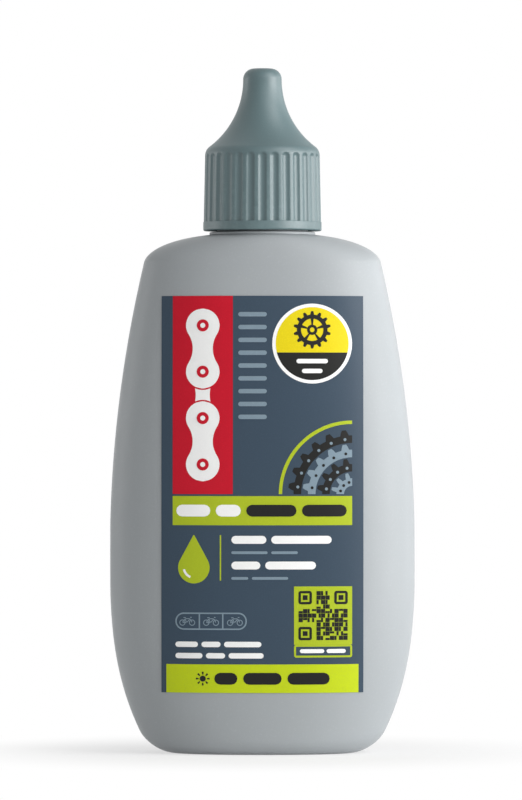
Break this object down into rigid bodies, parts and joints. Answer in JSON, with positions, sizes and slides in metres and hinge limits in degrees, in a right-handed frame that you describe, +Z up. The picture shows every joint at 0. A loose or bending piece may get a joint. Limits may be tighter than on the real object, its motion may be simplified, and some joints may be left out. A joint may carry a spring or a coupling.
{
  "type": "chain lube bottle",
  "caption": "Flat oval squeeze bottle for chain lubricant, with a dropper nozzle, a tall ribbed screw cap and a printed label on its front.",
  "frame": {"origin": "centre of the base, on the plane that the bottle stands on", "axes": "+Z up along the neck's axis, +X along the oval's long side, and the label on the front faces -Y"},
  "size_m": [0.0624, 0.0316, 0.1401],
  "materials": {
    "bottle_plastic": "satin blown polyethylene, cool grey",
    "dropper_plastic": "milky soft polyethylene",
    "cap_plastic": "satin moulded plastic, grey green",
    "washer_foam": "closed foam, matte",
    "label_film": "printed film, slate, low gloss",
    "red_ink": "printed ink",
    "lime_ink": "printed ink",
    "yellow_ink": "printed ink",
    "white_ink": "printed ink",
    "grey_ink": "printed ink, pale blue grey",
    "dark_ink": "printed ink, near black"
  },
  "bodies": {
    "bottle": {"bottle": "bottle_plastic", "dropper_insert": "dropper_plastic", "label": "label_film", "print_red": "red_ink", "print_lime": "lime_ink", "print_yellow": "yellow_ink", "print_white": "white_ink", "print_grey": "grey_ink", "print_dark": "dark_ink"},
    "washer": {"cap_washer": "washer_foam"},
    "cap": {"cap": "cap_plastic"}
  },
  "joints": [
    {"name": "cap_rise", "type": "slide", "parent": "bottle", "child": "washer", "axis": [0, 0, 1], "range_m": [0, 0.0318]},
    {"name": "cap_turn", "type": "hinge", "parent": "washer", "child": "cap", "pos_m": [0, 0, 0.1068], "axis": [0, 0, 1], "range_deg": [0, 3600]}
  ],
  "couplings": [
    {"joint": "cap_rise", "follows": "cap_turn", "m_per_rad": 0.000505}
  ]
}
